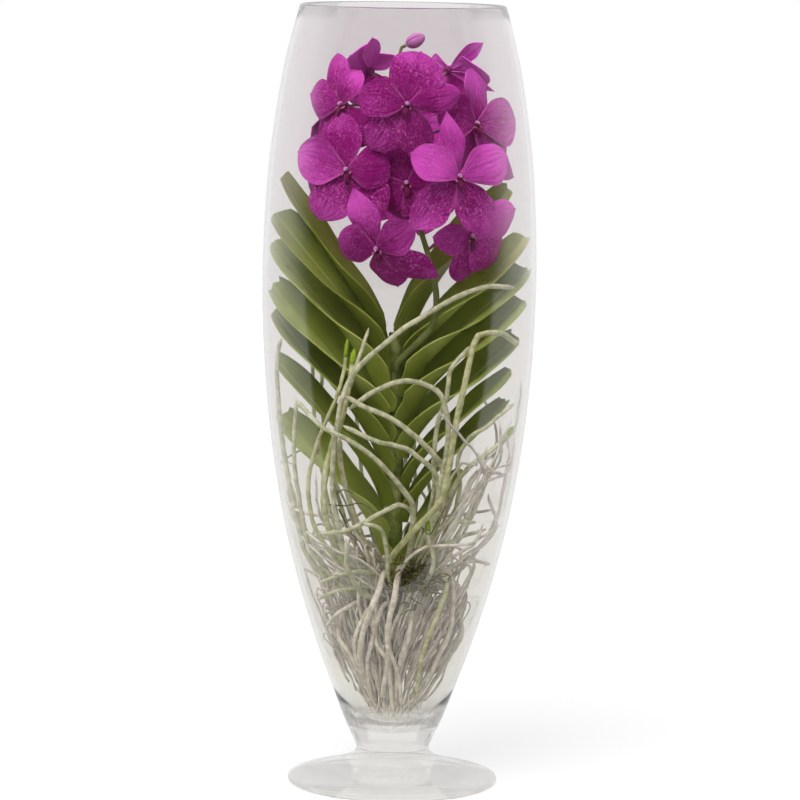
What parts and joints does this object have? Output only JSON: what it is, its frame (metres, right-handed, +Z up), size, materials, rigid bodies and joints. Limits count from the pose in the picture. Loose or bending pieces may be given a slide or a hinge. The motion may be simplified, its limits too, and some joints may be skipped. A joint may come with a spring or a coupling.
{
  "type": "vanda orchid in glass vase",
  "caption": "Bare-root vanda orchid with strap leaves, a purple bloom cluster and trailing aerial roots, standing inside a tall footed clear glass vase.",
  "frame": {"origin": "centre of the foot's underside", "axes": "+Z up the vase's axis; the plant's front, with most blooms, faces -Y"},
  "size_m": [0.2444, 0.2444, 0.7],
  "materials": {
    "glass": "clear, smooth, faintly grey where the wall is thick",
    "stem_green": "living green stem, satin",
    "leaf_green": "leathery leaf, satin, lighter on one side of the fold",
    "bloom_purple": "velvety magenta purple with paler netted veins and speckles",
    "spike_green": "green to brown flower stalk, satin",
    "bud_mauve": "pale mauve bud, satin",
    "root_silver": "silvery green spongy root skin, matt"
  },
  "bodies": {
    "root": {"vase": "glass", "stem": "stem_green", "leaf_left_1": "leaf_green", "leaf_left_2": "leaf_green", "leaf_left_3": "leaf_green", "leaf_left_4": "leaf_green", "leaf_left_5": "leaf_green", "leaf_left_6": "leaf_green", "leaf_left_7": "leaf_green", "leaf_right_1": "leaf_green", "leaf_right_2": "leaf_green", "leaf_right_3": "leaf_green", "leaf_right_4": "leaf_green", "leaf_right_5": "leaf_green", "leaf_right_6": "leaf_green", "leaf_right_7": "leaf_green", "leaf_right_8": "leaf_green", "bloom_front_top": "bloom_purple", "bloom_front_right": "bloom_purple", "bloom_front_left": "bloom_purple", "bloom_front_low": "bloom_purple", "bloom_front_middle": "bloom_purple", "bloom_left_top": "bloom_purple", "bloom_right_top": "bloom_purple", "bloom_right_low": "bloom_purple", "bloom_right_back": "bloom_purple", "bloom_crown_left": "bloom_purple", "bloom_crown_right": "bloom_purple", "bloom_back_left": "bloom_purple", "bloom_back_middle": "bloom_purple", "bloom_back_low": "bloom_purple", "flower_spike": "spike_green", "bud": "bud_mauve", "roots": "root_silver"}
  },
  "joints": []
}
